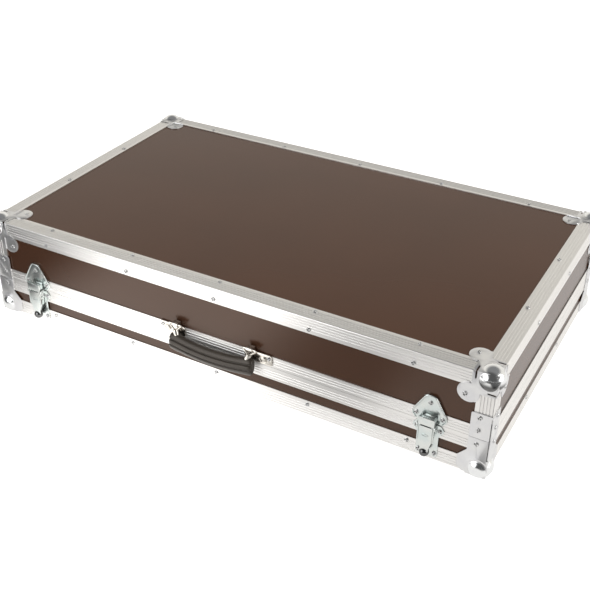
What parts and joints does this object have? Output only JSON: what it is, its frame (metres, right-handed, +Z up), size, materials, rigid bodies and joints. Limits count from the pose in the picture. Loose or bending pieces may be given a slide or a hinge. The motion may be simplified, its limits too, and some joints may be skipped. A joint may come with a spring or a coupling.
{
  "type": "keyboard flight case",
  "caption": "Long low flight case for a keyboard, with a deep hinged lid, ribbed aluminium edging, ball corners, draw latches and a hanging front handle.",
  "frame": {"origin": "on the floor under the middle of the case, between the lower ball corners", "axes": "+X along the front to the right, +Y from the latches to the hinges, +Z up"},
  "size_m": [0.8548, 0.5218, 0.1808],
  "materials": {
    "panel": "plywood with a dark brown glossy film",
    "edging": "satin, ribbed",
    "corner": "bright plated, smooth",
    "fitting": "bright zinc plated",
    "rivet": "bright zinc plated",
    "foam": "dark open-cell foam",
    "grip": "black, moulded"
  },
  "bodies": {
    "base": {"base_back_closure": "edging", "base_back_edging": "edging", "base_back_panel": "panel", "base_ball_corner_back_left": "corner", "base_ball_corner_back_right": "corner", "base_ball_corner_front_left": "corner", "base_ball_corner_front_right": "corner", "base_bottom_panel": "panel", "base_end_closures": "edging", "base_end_edgings": "edging", "base_foam_bed": "foam", "base_foam_lining": "foam", "base_front_closure": "edging", "base_front_edging": "edging", "base_front_panel": "panel", "base_left_panel": "panel", "base_right_panel": "panel", "base_rivets": "rivet", "hinge_base_leaf_left": "fitting", "hinge_base_leaf_right": "fitting", "hinge_pins": "fitting", "latch_base_plate_left": "fitting", "latch_base_plate_right": "fitting", "latch_pivot_pins": "fitting"},
    "lid": {"handle_bracket_screws": "rivet", "handle_brackets": "fitting", "hinge_lid_leaf_left": "fitting", "hinge_lid_leaf_right": "fitting", "latch_catch_left": "fitting", "latch_catch_right": "fitting", "lid_back_closure": "edging", "lid_back_edging": "edging", "lid_back_panel": "panel", "lid_ball_corner_back_left": "corner", "lid_ball_corner_back_right": "corner", "lid_ball_corner_front_left": "corner", "lid_ball_corner_front_right": "corner", "lid_corner_braces": "corner", "lid_end_closures": "edging", "lid_end_edgings": "edging", "lid_foam_lining": "foam", "lid_foam_pad": "foam", "lid_front_closure": "edging", "lid_front_edging": "edging", "lid_front_panel": "panel", "lid_left_panel": "panel", "lid_right_panel": "panel", "lid_rivets": "rivet", "lid_top_panel": "panel", "lid_upright_edgings": "edging"},
    "latch_left_lever": {"latch_lever_left": "fitting", "latch_loop_pin_left": "fitting"},
    "latch_left_loop": {"latch_loop_left": "fitting"},
    "latch_right_lever": {"latch_lever_right": "fitting", "latch_loop_pin_right": "fitting"},
    "latch_right_loop": {"latch_loop_right": "fitting"},
    "handle": {"handle_ferrules": "fitting", "handle_grip": "grip", "handle_rings": "fitting"}
  },
  "joints": [
    {"name": "lid_hinge", "type": "hinge", "parent": "base", "child": "lid", "pos_m": [0, 0.2499, 0.0696], "axis": [-1, 0, 0], "range_deg": [0, 100]},
    {"name": "handle_swing", "type": "hinge", "parent": "lid", "child": "handle", "pos_m": [0, -0.254, 0.0954], "axis": [-1, 0, 0], "range_deg": [0, 150]},
    {"name": "latch_left_pivot", "type": "hinge", "parent": "base", "child": "latch_left_lever", "pos_m": [-0.3365, -0.253, 0.0674], "axis": [-1, 0, 0], "range_deg": [0, 120]},
    {"name": "latch_left_loop_pivot", "type": "hinge", "parent": "latch_left_lever", "child": "latch_left_loop", "pos_m": [-0.3365, -0.253, 0.0564], "axis": [-1, 0, 0], "range_deg": [-120, 0]},
    {"name": "latch_right_pivot", "type": "hinge", "parent": "base", "child": "latch_right_lever", "pos_m": [0.3365, -0.253, 0.0674], "axis": [-1, 0, 0], "range_deg": [0, 120]},
    {"name": "latch_right_loop_pivot", "type": "hinge", "parent": "latch_right_lever", "child": "latch_right_loop", "pos_m": [0.3365, -0.253, 0.0564], "axis": [-1, 0, 0], "range_deg": [-120, 0]}
  ],
  "couplings": [
    {"joint": "latch_left_loop_pivot", "follows": "latch_left_pivot", "ratio": -1},
    {"joint": "latch_right_loop_pivot", "follows": "latch_right_pivot", "ratio": -1}
  ]
}
